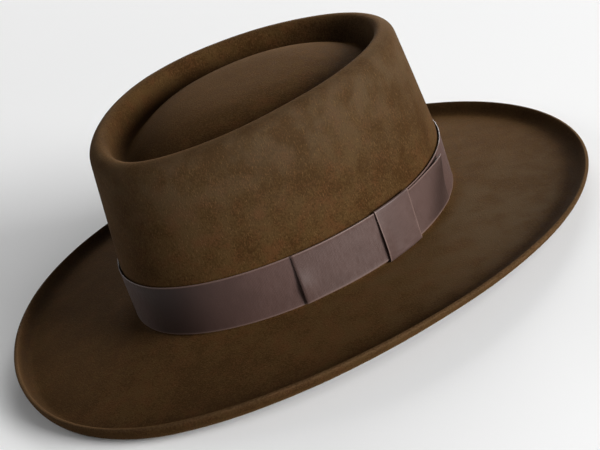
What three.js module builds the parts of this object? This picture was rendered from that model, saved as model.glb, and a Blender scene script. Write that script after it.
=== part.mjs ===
import * as THREE from 'three';

// A felt gambler hat: a telescope crown and a curled brim pressed from one piece of felt,
// a ribbon round the foot of the crown, and a flat bow of two wings and a knot on the ribbon.
// Millimetres and degrees. +Z is up, -Y is the front and +X is the wearer's left, where the bow is.
// The origin is on the surface that the hat rests on, below the middle of the outline.

// Felt body
const FELT_THICKNESS = 2.2;
const FOOT_OVAL = { halfWidth: 86, halfLength: 104, power: 1.92, egg: 0.03 };
const FOOT_HEIGHT = 14.6;
const LEAN = 0.0223; // the whole hat leans back this much, so its foot rises towards the front
const FOOT_RADIUS = 1.2;
const BRIM_OVAL = { halfWidth: 162.7, halfLength: 177.6, power: 2, egg: 0.04 };
const BRIM_FLAT = 0.6; // felt pressed flat where the front and the back touch the surface
// How far the brim rides above the surface, by the turn from the front to either side
const BRIM_LIFT = [
  { turn: 0, lift: 0 },
  { turn: 15, lift: 1.1 },
  { turn: 30, lift: 4 },
  { turn: 45, lift: 7.1 },
  { turn: 60, lift: 9 },
  { turn: 75, lift: 9.2 },
  { turn: 90, lift: 7.8 },
  { turn: 120, lift: 3.5 },
  { turn: 150, lift: 0.7 },
  { turn: 180, lift: 0 },
];

// Sizes that change around the hat
const CURL_RADIUS = { front: 5.6, side: 9.6, back: 9.5 };
const CURL_TURN = { front: 105, side: 65, back: 67 };
const WALL_TAPER = { front: 6.5, side: 5.1, back: 5.2 };
const RIM_HEIGHT = { front: 93.8, side: 99.6, back: 95.3 }; // above the foot

// Top of the crown
const RIM_OUTER_RADIUS = 7.7;
const RIM_INNER_RADIUS = 3.9;
const VALLEY_DEPTH = { front: 17.5, side: 18, back: 15 }; // below the rim
const VALLEY_INSET = { front: 6.5, side: 3.5, back: 4 }; // in from the inside of the rim
const DOME_HEIGHT = 96.9; // above the foot
const DOME_FLATNESS = 3.6; // the power that keeps the top flat
const DOME_SOFTNESS = { front: 1.35, side: 1.05, back: 1.1 }; // the power that eases it into the valley
const DOME_SHARES = [0.3, 0.55, 0.7, 0.82, 0.91, 0.97]; // rings, as shares of the way to the valley

// Ribbon and bow: bottom and top above the foot, inner and outer face out from the felt wall.
// Turns, in degrees, run from the front round by the wearer's left.
const RIBBON_HEIGHT = 28.5;
const RIBBON = { bottom: 0, top: RIBBON_HEIGHT, inner: 0.3, outer: 0.9 };
const FRONT_WING = { bottom: 0.8, top: 28.2, inner: 1.2, outer: 2.2, from: 52.5, to: 87 };
const BACK_WING = { bottom: 1.4, top: 26.6, inner: 1.2, outer: 2.2, from: 88, to: 120.5 };
const KNOT = { bottom: 0.2, top: 28.9, inner: 2.5, outer: 3.4, from: 80.5, to: 95.5 };

// Facets
const COLUMNS = 60;
const CURL_STEPS = 5;
const BRIM_STEPS = 3;
const FOOT_STEPS = 2;
const RIM_OUTER_STEPS = 4;
const RIM_INNER_STEPS = 3;
const INNER_WALL_STEPS = 4;
const WALL_STEPS = 2;

const COLUMN_OFFSET = 0.01; // shares of a step, so that no column falls on an oval's ends
const ANGLE_STEP = 0.01; // radians to either side of a point, to find the way the oval faces
const WIDTH_ERROR = 0.001;
const STRIP_CORNERS = 4;

const QUARTER_TURN = Math.PI / 2;
const radians = THREE.MathUtils.degToRad;
const mix = THREE.MathUtils.lerp;

/** Value between a row's front, side and back figures at an angle around the hat. */
function around(row, angle) {
  const forward = Math.cos(angle);
  const end = forward > 0 ? row.front : row.back;
  return mix(row.side, end, forward ** 2);
}

const liftCurve = new THREE.CubicInterpolant(
  BRIM_LIFT.map((row) => radians(row.turn)), BRIM_LIFT.map((row) => row.lift), 1);
liftCurve.settings = { endingStart: THREE.ZeroSlopeEnding, endingEnd: THREE.ZeroSlopeEnding };

/** Height of the brim's rise above the surface at an angle around the hat. */
function brimLift(angle) {
  return liftCurve.evaluate(Math.acos(Math.cos(angle)))[0];
}

/** Signed power that rounds or squares an oval. */
function bulge(value, power) {
  return Math.sign(value) * Math.abs(value) ** (2 / power);
}

/** Point of the crown's foot oval, on the outside of the felt. */
function footPoint(angle) {
  const forward = bulge(Math.cos(angle), FOOT_OVAL.power);
  const sideways = bulge(Math.sin(angle), FOOT_OVAL.power);
  const x = FOOT_OVAL.halfWidth * sideways * (1 - FOOT_OVAL.egg * forward);
  return new THREE.Vector2(x, -FOOT_OVAL.halfLength * forward);
}

/** True where a point lies inside the outline of the brim. */
function insideBrim(point) {
  const forward = -point.y / BRIM_OVAL.halfLength;
  const sideways = point.x / (BRIM_OVAL.halfWidth * (1 - BRIM_OVAL.egg * forward));
  return Math.abs(forward) ** BRIM_OVAL.power + Math.abs(sideways) ** BRIM_OVAL.power < 1;
}

/** Distance from the foot along an outward direction to the outline of the brim. */
function brimWidth(foot, outward) {
  let near = 0;
  let far = BRIM_OVAL.halfLength;
  while (far - near > WIDTH_ERROR) {
    const middle = (near + far) / 2;
    if (insideBrim(foot.clone().addScaledVector(outward, middle))) near = middle;
    else far = middle;
  }
  return near;
}

/** One upright plane through the felt: where it stands, which way it faces, how high its foot is. */
function makeColumn(angle) {
  const foot = footPoint(angle);
  const ahead = footPoint(angle + ANGLE_STEP);
  const behind = footPoint(angle - ANGLE_STEP);
  const outward = new THREE.Vector2(ahead.y - behind.y, behind.x - ahead.x).normalize();
  const footHeight = FOOT_HEIGHT - LEAN * foot.y;
  const rim = footHeight + around(RIM_HEIGHT, angle);
  const shoulder = rim - RIM_OUTER_RADIUS;
  const wall = shoulder - footHeight - RIBBON_HEIGHT;
  const draw = wall * Math.tan(radians(around(WALL_TAPER, angle)));
  const crest = -draw - RIM_OUTER_RADIUS;
  const rimInside = crest - RIM_INNER_RADIUS;
  const valley = new THREE.Vector2(
    rimInside - around(VALLEY_INSET, angle), rim - around(VALLEY_DEPTH, angle));
  return { angle, foot, outward, footHeight, rim, shoulder, draw, crest, rimInside, valley };
}

const columns = Array.from({ length: COLUMNS }, (_, step) =>
  makeColumn(((step + COLUMN_OFFSET) * 2 * Math.PI) / COLUMNS));

/** Point in space at a distance out from the foot and a height above the surface. */
function place(column, out, height) {
  const flat = column.foot.clone().addScaledVector(column.outward, out);
  return new THREE.Vector3(flat.x, flat.y + LEAN * (height - FOOT_HEIGHT), height);
}

/** Points along an arc in a column's plane; zero degrees points outwards, ninety up. */
function arc(centreOut, centreHeight, radius, from, to, steps) {
  return Array.from({ length: steps + 1 }, (_, step) => {
    const turn = mix(from, to, step / steps);
    return new THREE.Vector2(
      centreOut + radius * Math.cos(turn),
      centreHeight + radius * Math.sin(turn));
  });
}

const floors = columns.map((column) => place(column, column.valley.x, column.valley.y));
const domeMiddle = new THREE.Vector3();
floors.forEach((floor) => domeMiddle.addScaledVector(floor, 1 / floors.length));

/** Height of the dome's top above the surface, which leans back with the hat. */
function domeTop(y) {
  return FOOT_HEIGHT + DOME_HEIGHT - LEAN * y;
}

/** Upper face of the dome, as distances from its middle and heights, down to one column's valley. */
function domeSection(floor, angle) {
  const reach = Math.hypot(floor.x - domeMiddle.x, floor.y - domeMiddle.y);
  const softness = around(DOME_SOFTNESS, angle);
  return [0, ...DOME_SHARES, 1].map((share) => {
    const top = domeTop(mix(domeMiddle.y, floor.y, share));
    const rise = (1 - share ** DOME_FLATNESS) ** softness;
    return new THREE.Vector2(share * reach, mix(floor.z, top, rise));
  });
}

/** Point in space at a distance from the dome's middle, on the way to a column's valley. */
function placeOnDome(floor, distance, height) {
  const way = new THREE.Vector2(floor.x - domeMiddle.x, floor.y - domeMiddle.y).setLength(distance);
  return new THREE.Vector3(domeMiddle.x + way.x, domeMiddle.y + way.y, height);
}

/** Upper face of the felt in one column, from the valley up and out to the edge of the brim. */
function feltSection(column) {
  const { footHeight, rim, shoulder, draw, crest, rimInside, valley } = column;
  const ribbonTop = footHeight + RIBBON_HEIGHT;
  const rimCentre = rim - RIM_INNER_RADIUS;
  const innerWall = Array.from({ length: INNER_WALL_STEPS - 1 }, (_, step) => {
    const turn = (QUARTER_TURN * (step + 1)) / INNER_WALL_STEPS;
    return new THREE.Vector2(
      mix(valley.x, rimInside, Math.sin(turn)),
      mix(rimCentre, valley.y, Math.cos(turn)));
  });
  const rimIn = arc(crest, rimCentre, RIM_INNER_RADIUS, Math.PI, QUARTER_TURN, RIM_INNER_STEPS);
  const rimOut = arc(crest, shoulder, RIM_OUTER_RADIUS, QUARTER_TURN, 0, RIM_OUTER_STEPS);
  const wall = Array.from({ length: WALL_STEPS }, (_, step) => {
    const share = (step + 1) / WALL_STEPS;
    return new THREE.Vector2(mix(-draw, 0, share), mix(shoulder, ribbonTop, share));
  });
  const footArc = arc(FOOT_RADIUS, footHeight, FOOT_RADIUS, Math.PI, 3 * QUARTER_TURN, FOOT_STEPS);
  return [valley, ...innerWall, ...rimIn, ...rimOut.slice(1), ...wall, ...footArc,
    ...brimSection(column, footArc.at(-1))];
}

/** Upper face of the brim from the foot: a straight run, then the curl that it runs into. */
function brimSection(column, start) {
  const { angle, foot, outward } = column;
  const width = brimWidth(foot, outward);
  const radius = around(CURL_RADIUS, angle);
  const lift = brimLift(angle) - BRIM_FLAT + FELT_THICKNESS;
  const centre = new THREE.Vector2(width - radius - FELT_THICKNESS, lift + radius);
  const reach = centre.clone().sub(start);
  const slope = Math.atan2(reach.y, reach.x) - Math.asin(radius / reach.length());
  const turn = radians(around(CURL_TURN, angle));
  const curl = arc(centre.x, centre.y, radius, slope - QUARTER_TURN, turn - QUARTER_TURN, CURL_STEPS);
  const run = Array.from({ length: BRIM_STEPS - 1 }, (_, step) =>
    start.clone().lerp(curl[0], (step + 1) / BRIM_STEPS));
  return [...run, ...curl];
}

/** Lower face of the felt: the upper face moved through the thickness, flat on the surface. */
function underside(section) {
  return section.map((point, index) => {
    const before = section[Math.max(index - 1, 0)];
    const after = section[Math.min(index + 1, section.length - 1)];
    const along = after.clone().sub(before).normalize();
    const out = point.x + FELT_THICKNESS * along.y;
    const height = point.y - FELT_THICKNESS * along.x;
    return new THREE.Vector2(out, Math.max(height, 0));
  });
}

/** Closed body from rings of points that run from one pole to the other. */
function skin(topPole, rings, bottomPole) {
  const points = [topPole, ...rings.flat(), bottomPole];
  const last = points.length - 1;
  const faces = [];
  const at = (ring, step) => 1 + ring * COLUMNS + (step % COLUMNS);
  for (let step = 0; step < COLUMNS; step += 1) {
    faces.push(0, at(0, step), at(0, step + 1));
    faces.push(last, at(rings.length - 1, step + 1), at(rings.length - 1, step));
  }
  for (let ring = 0; ring < rings.length - 1; ring += 1) {
    for (let step = 0; step < COLUMNS; step += 1) {
      const [a, b] = [at(ring, step), at(ring, step + 1)];
      const [c, d] = [at(ring + 1, step), at(ring + 1, step + 1)];
      faces.push(a, c, d, a, d, b);
    }
  }
  return surface(points, faces);
}

/** Geometry from points and the corners of its triangles. */
function surface(points, faces) {
  const geometry = new THREE.BufferGeometry().setFromPoints(points);
  geometry.setIndex(faces);
  geometry.computeVertexNormals();
  return geometry;
}

/** Rings of points at the same steps of every column's line. */
function ringsOf(lines) {
  return [...lines[0].keys()].map((row) => lines.map((line) => line[row]));
}

/** One face of the felt: its point on the dome's middle, and its rings out to the edge of the brim. */
function face(offset) {
  return ringsOf(columns.map((column, step) => {
    const crown = feltSection(column);
    const dome = domeSection(floors[step], column.angle);
    const upWall = new THREE.Vector2(dome.at(-1).x + crown[1].x - crown[0].x, crown[1].y);
    const inside = offset([...dome, upWall]).slice(1, -1);
    return [
      ...inside.map((point) => placeOnDome(floors[step], point.x, point.y)),
      ...offset(crown).slice(1).map((point) => place(column, point.x, point.y)),
    ];
  }));
}

/** The felt body: upper and lower face joined at the edge of the brim. */
function feltGeometry() {
  const upper = face((section) => section);
  const lower = face(underside);
  const top = new THREE.Vector3(domeMiddle.x, domeMiddle.y, domeTop(domeMiddle.y));
  const below = top.clone().setZ(top.z - FELT_THICKNESS);
  return skin(top, [...upper, ...lower.reverse()], below);
}

/** Point of a strip's section in space, on the flat facet between two columns. */
function stripPoint(station, out, height) {
  const step = Math.floor(station) % COLUMNS;
  const here = columns[step];
  const next = columns[(step + 1) % COLUMNS];
  const start = place(here, out, here.footHeight + height);
  return start.lerp(place(next, out, next.footHeight + height), station - Math.floor(station));
}

/** The four corners of a strip's section, turning from the inner bottom round its outer face. */
function stripCorners(strip, station) {
  const { bottom, top, inner, outer } = strip;
  const corners = [[inner, bottom], [outer, bottom], [outer, top], [inner, top]];
  return corners.map(([out, height]) => stripPoint(station, out, height));
}

/** A flat strip of ribbon that follows the foot of the crown from one turn to another. */
function stripGeometry(strip, closed) {
  const whole = Array.from({ length: COLUMNS }, (_, step) => step);
  const stationOf = (turn) => (turn / 360) * COLUMNS - COLUMN_OFFSET;
  const stations = closed ? whole : [
    stationOf(strip.from),
    ...whole.filter((step) => step > stationOf(strip.from) && step < stationOf(strip.to)),
    stationOf(strip.to),
  ];
  const points = stations.flatMap((station) => stripCorners(strip, station));
  const faces = [];
  const spans = closed ? stations.length : stations.length - 1;
  for (let span = 0; span < spans; span += 1) {
    const next = (span + 1) % stations.length;
    for (let corner = 0; corner < STRIP_CORNERS; corner += 1) {
      const turned = (corner + 1) % STRIP_CORNERS;
      const [here, there] = [span * STRIP_CORNERS, next * STRIP_CORNERS];
      faces.push(here + corner, there + turned, here + turned);
      faces.push(here + corner, there + corner, there + turned);
    }
  }
  if (!closed) {
    const end = (stations.length - 1) * STRIP_CORNERS;
    faces.push(0, 1, 2, 0, 2, 3, end, end + 2, end + 1, end, end + 3, end + 2);
  }
  return surface(points, faces);
}

const felt = new THREE.MeshStandardMaterial({ color: 0x503b27, roughness: 0.95, metalness: 0 });
const ribbon = new THREE.MeshStandardMaterial({ color: 0x6e5a55, roughness: 0.5, metalness: 0 });
const bow = new THREE.MeshStandardMaterial({ color: 0x6a564f, roughness: 0.5, metalness: 0 });

/** A named mesh. */
function piece(name, geometry, material) {
  const mesh = new THREE.Mesh(geometry, material);
  mesh.name = name;
  return mesh;
}

const hat = new THREE.Group();
hat.add(
  piece('felt_body', feltGeometry(), felt),
  piece('ribbon_band', stripGeometry(RIBBON, true), ribbon),
  piece('bow_front_wing', stripGeometry(FRONT_WING, false), bow),
  piece('bow_back_wing', stripGeometry(BACK_WING, false), bow),
  piece('bow_knot', stripGeometry(KNOT, false), bow));

export default hat;
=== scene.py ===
"""Brown felt gambler hat with a ribbon band and a flat side bow, resting on a pale floor.

The classes hold their sizes in millimetres and degrees, as a hatter notes them down, and
their meshes are in metres: +Z up, -Y the front of the hat, +X the wearer's left, where the bow is.
"""

import logging
import math
from collections.abc import Iterator, Sequence
from contextlib import contextmanager
from dataclasses import dataclass
from enum import Enum

import bmesh
import bpy
import numpy as np
from mathutils import Matrix, Vector, noise


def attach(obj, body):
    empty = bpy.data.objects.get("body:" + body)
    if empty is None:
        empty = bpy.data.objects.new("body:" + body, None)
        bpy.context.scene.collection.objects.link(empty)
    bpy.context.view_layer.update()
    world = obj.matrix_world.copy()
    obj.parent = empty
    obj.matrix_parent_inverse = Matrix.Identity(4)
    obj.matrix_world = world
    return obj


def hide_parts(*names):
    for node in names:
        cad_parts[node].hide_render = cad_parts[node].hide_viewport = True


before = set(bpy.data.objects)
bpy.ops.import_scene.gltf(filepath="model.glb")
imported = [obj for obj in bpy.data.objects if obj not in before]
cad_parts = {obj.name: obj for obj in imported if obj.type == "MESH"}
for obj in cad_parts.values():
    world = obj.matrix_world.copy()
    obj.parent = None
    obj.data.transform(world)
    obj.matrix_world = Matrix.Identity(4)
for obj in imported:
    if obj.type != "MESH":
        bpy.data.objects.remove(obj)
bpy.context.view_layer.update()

MM = 0.001
log = logging.getLogger("gambler_hat")

Colour = tuple[float, float, float]


class Slot(Enum):
    """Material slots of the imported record."""

    FELT = "felt"
    RIBBON = "ribbon"
    BOW = "bow_ribbon"


class FeltPart(Enum):
    """Stretches of the felt from the middle of the dome out to the edge of the brim."""

    DOME = "dome"
    RIM = "rim"
    WALL = "wall"
    UNDER_RIBBON = "under the ribbon"
    BRIM = "brim"
    CURL = "curl"


# ---- Tools of the bench ----


class Bench:
    """Blender's modelling tools, used as by hand."""

    ROUNDED_ABOVE = math.radians(60)
    SHARP_ABOVE = math.radians(50)

    @staticmethod
    def clear() -> None:
        """Leave edit mode and deselect everything."""
        if bpy.context.object and bpy.context.object.mode != "OBJECT":
            bpy.ops.object.mode_set(mode="OBJECT")
        bpy.ops.object.select_all(action="DESELECT")

    @staticmethod
    def name(name: str) -> bpy.types.Object:
        """Name the primitive that was just added, and its mesh.

        Args:
            name: The piece's name.

        Returns:
            The new object.
        """
        piece = bpy.context.object
        piece.name = name
        piece.data.name = name
        return piece

    @staticmethod
    @contextmanager
    def editing(piece: bpy.types.Object) -> Iterator[bmesh.types.BMesh]:
        """Open a piece in edit mode.

        Args:
            piece: The mesh object to edit.

        Yields:
            The piece's edit mesh.
        """
        bpy.context.view_layer.objects.active = piece
        bpy.ops.object.mode_set(mode="EDIT")
        yield bmesh.from_edit_mesh(piece.data)
        bpy.ops.object.mode_set(mode="OBJECT")

    @staticmethod
    def finish_with(piece: bpy.types.Object, kind: str, **settings: object) -> None:
        """Add a modifier and apply it at once.

        Args:
            piece: The mesh object.
            kind: Blender's name for the modifier.
            settings: The modifier's own settings.
        """
        bpy.context.view_layer.objects.active = piece
        modifier = piece.modifiers.new(kind.title(), kind)
        for key, value in settings.items():
            setattr(modifier, key, value)
        bpy.ops.object.modifier_apply(modifier=modifier.name)

    @staticmethod
    def round_edges(piece: bpy.types.Object, width: float) -> None:
        """Round a piece's sharp edges, over a width in millimetres."""
        Bench.finish_with(
            piece, "BEVEL", width=width * MM, segments=2, limit_method="ANGLE",
            angle_limit=Bench.ROUNDED_ABOVE)

    @staticmethod
    def smooth(piece: bpy.types.Object) -> None:
        """Shade a piece smooth except across sharp edges."""
        Bench.clear()
        piece.select_set(True)
        bpy.context.view_layer.objects.active = piece
        bpy.ops.object.shade_smooth_by_angle(angle=Bench.SHARP_ABOVE)
        Bench.clear()


class SmoothCurve:
    """A smooth curve through the rows of a table."""

    def __init__(self, at: Sequence[float], values: Sequence[Sequence[float]], level_ends: bool) -> None:
        """Work out the slope at each row.

        Args:
            at: Where each row stands along the curve.
            values: The row's figures.
            level_ends: True where the curve runs level into both ends.
        """
        self.at = np.asarray(at, float)
        self.values = np.asarray(values, float)
        slopes = np.zeros_like(self.values)
        slopes[1:-1] = (self.values[2:] - self.values[:-2]) / (self.at[2:] - self.at[:-2])[:, None]
        if not level_ends:
            slopes[0] = (self.values[1] - self.values[0]) / (self.at[1] - self.at[0])
            slopes[-1] = (self.values[-1] - self.values[-2]) / (self.at[-1] - self.at[-2])
        self.slopes = slopes

    def __call__(self, place: float) -> np.ndarray:
        """Figures at a place along the curve.

        Args:
            place: A distance along the curve.

        Returns:
            The figures there.
        """
        row = int(np.clip(np.searchsorted(self.at, place) - 1, 0, len(self.at) - 2))
        span = self.at[row + 1] - self.at[row]
        t = (place - self.at[row]) / span
        start, end = self.values[row], self.values[row + 1]
        leave, arrive = self.slopes[row] * span, self.slopes[row + 1] * span
        return (
            (2 * t**3 - 3 * t**2 + 1) * start
            + (t**3 - 2 * t**2 + t) * leave
            + (3 * t**2 - 2 * t**3) * end
            + (t**3 - t**2) * arrive
        )


def even_steps(knots: Sequence[Vector], steps: int, fine: int = 240) -> list[Vector]:
    """Draw a smooth line through knots and step evenly along it.

    Args:
        knots: Points that the line passes through.
        steps: How many equal steps the line is cut into.
        fine: How finely the line is traced to measure it.

    Returns:
        The points at the steps, both ends included.
    """
    points = np.array([tuple(knot) for knot in knots])
    reach = np.concatenate([[0.0], np.cumsum(np.linalg.norm(np.diff(points, axis=0), axis=1))])
    curve = SmoothCurve(reach, points, level_ends=False)
    traced = np.array([curve(place) for place in np.linspace(0, reach[-1], fine)])
    run = np.concatenate([[0.0], np.cumsum(np.linalg.norm(np.diff(traced, axis=0), axis=1))])
    wanted = np.linspace(0, run[-1], steps + 1)
    return [Vector([float(np.interp(place, run, column)) for column in traced.T]) for place in wanted]


def arc(centre: Vector, radius: float, start: float, end: float, steps: int) -> list[Vector]:
    """Points along an arc in an upright plane.

    Args:
        centre: Middle of the arc, as (out, height).
        radius: Its radius.
        start: Angle of its first point, where 0 points outwards and 90 up.
        end: Angle of its last point.
        steps: How many equal steps it is cut into.

    Returns:
        The points, both ends included.
    """
    turns = [math.radians(start + (end - start) * step / steps) for step in range(steps + 1)]
    return [centre + radius * Vector((math.cos(turn), math.sin(turn))) for turn in turns]


def bell(distance: float, reach: float) -> float:
    """Return a soft fall-off from 1 at no distance to nearly 0 past the reach."""
    return math.exp(-((distance / reach) ** 2))


# ---- The block that the felt is pressed over ----


@dataclass(frozen=True)
class Around:
    """A size that changes between the front, the sides and the back of the hat."""

    front: float
    side: float
    back: float

    def at(self, turn: float) -> float:
        """Return the size at a turn from the front, in radians."""
        forward = math.cos(turn)
        end = self.front if forward > 0 else self.back
        return self.side + (end - self.side) * forward**2


@dataclass(frozen=True)
class Oval:
    """An egg-shaped oval, narrower at the front."""

    half_width: float
    half_length: float
    power: float
    egg: float

    def point(self, turn: float) -> Vector:
        """Return the oval's point at a turn from the front, in radians."""
        forward, sideways = (
            math.copysign(abs(value) ** (2 / self.power), value) for value in (math.cos(turn), math.sin(turn))
        )
        return Vector((self.half_width * sideways * (1 - self.egg * forward), -self.half_length * forward))

    def holds(self, point: Vector) -> bool:
        """Return True where a point lies inside the oval."""
        forward = -point.y / self.half_length
        sideways = point.x / (self.half_width * (1 - self.egg * forward))
        return abs(forward) ** self.power + abs(sideways) ** self.power < 1


@dataclass(frozen=True)
class Stand:
    """An upright plane through the hat, square to the foot of the crown."""

    turn: float
    foot: Vector
    outward: Vector
    foot_height: float


@dataclass(frozen=True)
class HatBlock:
    """The shape of the felt's upper face, in millimetres and degrees."""

    foot: Oval = Oval(half_width=86, half_length=104, power=1.92, egg=0.03)
    brim: Oval = Oval(half_width=162.7, half_length=177.6, power=2, egg=0.04)
    foot_height: float = 14.6
    foot_radius: float = 1.2
    lean: float = 0.0223
    thickness: float = 2.2
    pressed_flat: float = 0.6
    lift_turns: tuple[float, ...] = (0, 15, 30, 45, 60, 75, 90, 120, 150, 180)
    lifts: tuple[float, ...] = (0, 1.1, 4, 7.1, 9, 9.2, 7.8, 3.5, 0.7, 0)
    curl_radius: Around = Around(front=5.6, side=9.6, back=9.5)
    curl_turn: Around = Around(front=105, side=65, back=67)
    wall_taper: Around = Around(front=6.5, side=5.1, back=5.2)
    rim_height: Around = Around(front=93.8, side=99.6, back=95.3)
    rim_outer_radius: float = 7.7
    rim_inner_radius: float = 3.9
    valley_depth: Around = Around(front=17.5, side=18, back=15)
    valley_inset: Around = Around(front=6.5, side=3.5, back=4)
    dome_height: float = 96.9
    dome_flatness: float = 3.6
    dome_softness: Around = Around(front=1.35, side=1.05, back=1.1)
    dome_shares: tuple[float, ...] = (0.55, 0.65, 0.74, 0.82, 0.89, 0.95)
    ribbon_height: float = 28.5
    ribbon_bite: float = 0.55
    bite_rise: float = 0.9

    def stand(self, turn: float) -> Stand:
        """Set up the plane at a turn.

        Args:
            turn: Turn from the front round by the wearer's left, in radians.

        Returns:
            The plane there.
        """
        foot = self.foot.point(turn)
        along = self.foot.point(turn + 0.01) - self.foot.point(turn - 0.01)
        outward = Vector((along.y, -along.x)).normalized()
        return Stand(turn, foot, outward, self.foot_height - self.lean * foot.y)

    def place(self, stand: Stand, out: float, height: float) -> Vector:
        """Find a point in space.

        Args:
            stand: The plane it lies in.
            out: Distance out from the foot of the crown, in millimetres.
            height: Height above the surface that the hat rests on, in millimetres.

        Returns:
            The point, in metres.
        """
        flat = stand.foot + out * stand.outward
        return Vector((flat.x, flat.y + self.lean * (height - self.foot_height), height)) * MM

    def brim_width(self, stand: Stand) -> float:
        """Return the distance from the foot out to the brim's outline in one plane."""
        near, far = 0.0, self.brim.half_length
        while far - near > 0.001:
            middle = (near + far) / 2
            if self.brim.holds(stand.foot + middle * stand.outward):
                near = middle
            else:
                far = middle
        return near

    def brim_lift(self, turn: float) -> float:
        """Return how far the brim rides above the surface at a turn, in radians."""
        curve = SmoothCurve(self.lift_turns, [(lift,) for lift in self.lifts], level_ends=True)
        return float(curve(math.degrees(math.acos(math.cos(turn))))[0])

    def valley_floor(self, stand: Stand) -> Vector:
        """Return the lowest point of the valley in one plane, in metres."""
        out = self.rim_inside(stand) - self.valley_inset.at(stand.turn)
        return self.place(stand, out, self.rim_top(stand) - self.valley_depth.at(stand.turn))

    def rim_top(self, stand: Stand) -> float:
        """Return the height of the rim above the surface, in millimetres."""
        return stand.foot_height + self.rim_height.at(stand.turn)

    def rim_inside(self, stand: Stand) -> float:
        """Return how far out the rim's inner face stands, a negative number of millimetres."""
        slope = math.tan(math.radians(self.wall_taper.at(stand.turn)))
        wall = self.rim_height.at(stand.turn) - self.rim_outer_radius - self.ribbon_height
        return -wall * slope - self.rim_outer_radius - self.rim_inner_radius

    def dome_point(self, middle: Vector, floor: Vector, turn: float, share: float) -> Vector:
        """Find a point on the dome.

        Args:
            middle: The middle of the valley's ring, in metres.
            floor: The valley's floor at the turn, in metres.
            turn: Turn from the front, in radians.
            share: How far from the dome's middle the point is, where 1 is the valley's floor.

        Returns:
            The point, in metres.
        """
        point = middle.lerp(floor, share)
        top = (self.foot_height + self.dome_height) * MM - self.lean * point.y
        rise = (1 - min(share, 1.0) ** self.dome_flatness) ** self.dome_softness.at(turn)
        return Vector((point.x, point.y, floor.z + (top - floor.z) * rise))

    def valley_section(self, stand: Stand, middle: Vector, steps: int) -> list[tuple[FeltPart, Vector]]:
        """Trace the side of the dome, down into the valley and up the inside of the rim.

        Args:
            stand: The plane that is cut.
            middle: The middle of the valley's ring, in metres.
            steps: How many equal steps the line is cut into.

        Returns:
            The points of the felt's upper face, each with the part that it belongs to.
        """
        floor = self.valley_floor(stand)
        flank = [self.dome_point(middle, floor, stand.turn, share) for share in self.dome_shares]
        rim, inside = self.rim_top(stand), self.rim_inside(stand)
        inset = self.valley_inset.at(stand.turn)
        tall = self.valley_depth.at(stand.turn) - self.rim_inner_radius
        wall = [
            self.place(
                stand, inside - inset * (1 - math.sin(turn)),
                rim - self.rim_inner_radius - tall * math.cos(turn))
            for turn in (math.radians(degrees) for degrees in (22.5, 45, 67.5, 90))
        ]
        return [(FeltPart.DOME, point) for point in even_steps([*flank, floor, *wall], steps)]

    def crown_section(self, stand: Stand) -> list[tuple[FeltPart, Vector]]:
        """Trace the crown over the rim and down to the foot.

        Args:
            stand: The plane that is cut.

        Returns:
            The points of the felt's upper face, each with the part that it belongs to.
        """
        rim, inside = self.rim_top(stand), self.rim_inside(stand)
        crest = inside + self.rim_inner_radius
        ribbon_top = stand.foot_height + self.ribbon_height
        taper = self.wall_taper.at(stand.turn)
        inner = arc(Vector((crest, rim - self.rim_inner_radius)), self.rim_inner_radius, 180, 90, 4)
        outer = arc(Vector((crest, rim - self.rim_outer_radius)), self.rim_outer_radius, 90, taper, 6)
        top_of_wall = outer[-1]
        above_bite = 1 - self.bite_rise / (top_of_wall.y - ribbon_top)
        foot_of_wall = top_of_wall.lerp(Vector((0, ribbon_top)), above_bite)
        wall = [top_of_wall.lerp(foot_of_wall, step / 8) for step in range(1, 9)]
        drops = (self.bite_rise / 2, 2 * self.bite_rise, self.ribbon_height / 2, self.ribbon_height * 0.85)
        under = [Vector((-self.ribbon_bite, ribbon_top - drop)) for drop in drops]
        return [
            *((FeltPart.RIM, self.place(stand, *point)) for point in [*inner[1:], *outer[1:]]),
            *((FeltPart.WALL, self.place(stand, *point)) for point in wall),
            *((FeltPart.UNDER_RIBBON, self.place(stand, *point)) for point in under),
        ]

    def brim_section(self, stand: Stand) -> list[tuple[FeltPart, Vector]]:
        """Trace the brim from the foot of the crown to its raw edge.

        Args:
            stand: The plane that is cut.

        Returns:
            The points of the felt's upper face, each with the part that it belongs to.
        """
        corner = arc(Vector((self.foot_radius, stand.foot_height)), self.foot_radius, 180, 270, 2)
        start = corner[-1]
        radius = self.curl_radius.at(stand.turn)
        lift = self.brim_lift(stand.turn) - self.pressed_flat + self.thickness
        centre = Vector((self.brim_width(stand) - radius - self.thickness, lift + radius))
        reach = centre - start
        slope = math.degrees(math.atan2(reach.y, reach.x) - math.asin(radius / reach.length))
        curl = arc(centre, radius, slope - 90, self.curl_turn.at(stand.turn) - 90, 8)
        run = [start.lerp(curl[0], step / 8) for step in range(1, 8)]
        return [
            *((FeltPart.UNDER_RIBBON, self.place(stand, *point)) for point in corner),
            *((FeltPart.BRIM, self.place(stand, *point)) for point in run),
            *((FeltPart.CURL, self.place(stand, *point)) for point in curl),
        ]


# ---- Finishes ----


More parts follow.
